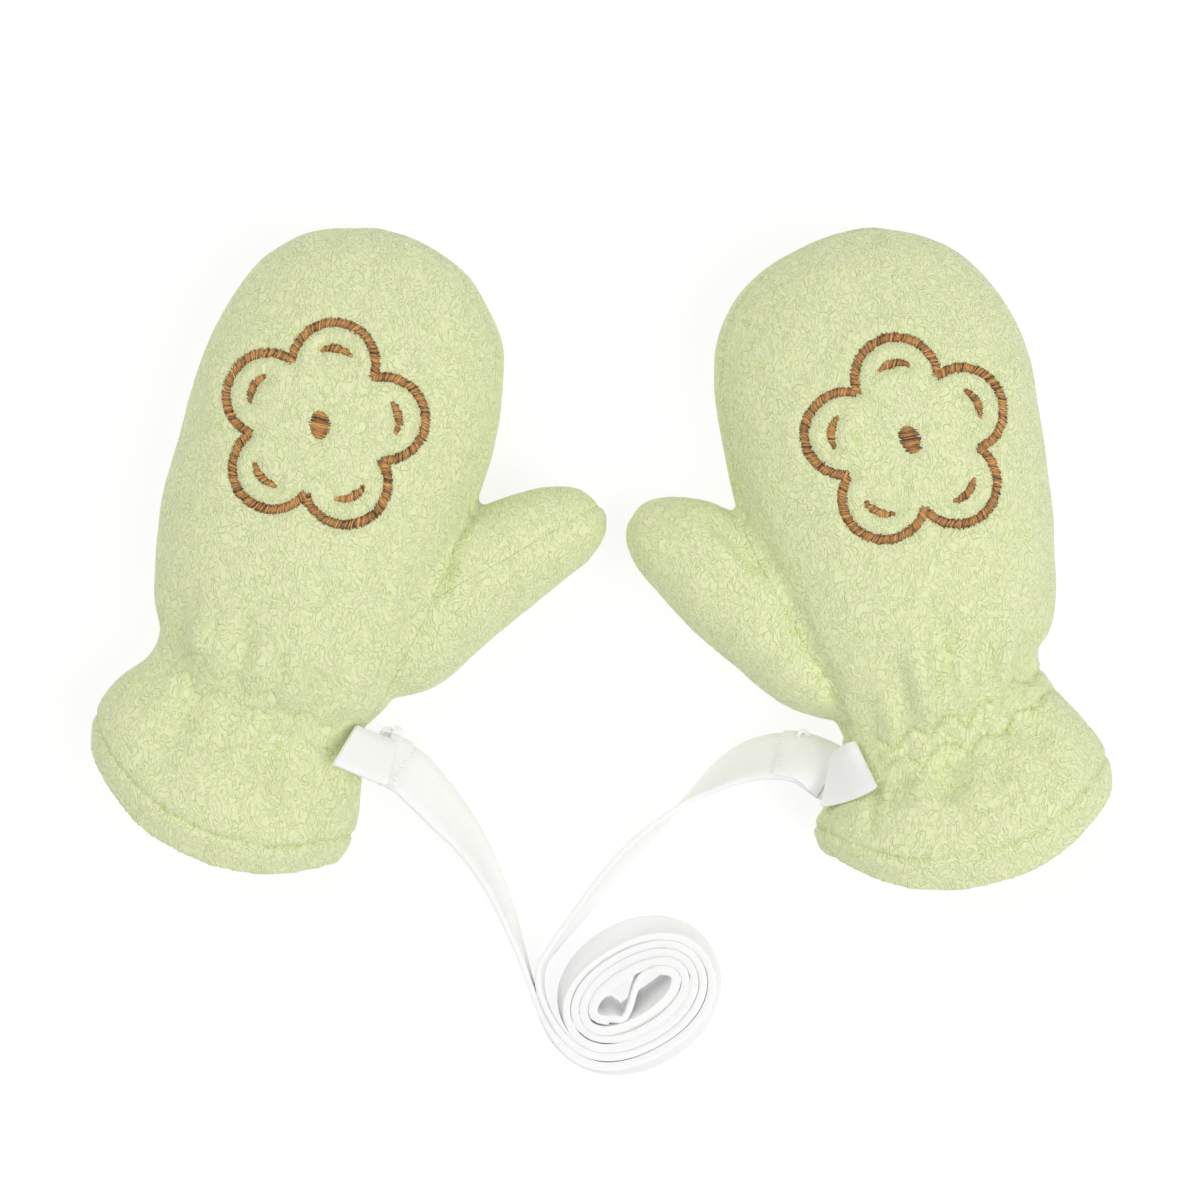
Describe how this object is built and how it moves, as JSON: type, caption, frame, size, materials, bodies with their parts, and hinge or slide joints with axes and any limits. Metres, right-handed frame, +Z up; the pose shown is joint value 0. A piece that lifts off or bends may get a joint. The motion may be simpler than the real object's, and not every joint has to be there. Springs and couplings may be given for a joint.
{
  "type": "pair of child's fleece mittens on an elastic tape",
  "caption": "Pair of plush fleece mittens for a small child, lying on their palms, with gathered wrists, open cuffs, side thumbs and one elastic tape wound into an oval roll.",
  "frame": {"origin": "on the surface that the pair lies on, at the middle of the two mittens seen from above", "axes": "+X across the pair from the left mitten in the picture to the right one, +Y towards the fingertips, +Z up from the surface"},
  "size_m": [0.265, 0.2218, 0.047],
  "materials": {
    "fleece": "short plush pile, light yellow-green",
    "elastic_tape": "white knitted elastic tape, matt",
    "thread": "brown embroidery thread, satin stitch"
  },
  "bodies": {
    "root": {"L_back": "fleece", "L_palm_upper": "fleece", "L_palm_lower": "fleece", "R_back": "fleece", "R_palm_upper": "fleece", "R_palm_lower": "fleece", "L_tape_loop": "elastic_tape", "R_tape_loop": "elastic_tape", "strap_left": "elastic_tape", "strap_right": "elastic_tape", "strap_roll": "elastic_tape"}
  },
  "joints": []
}
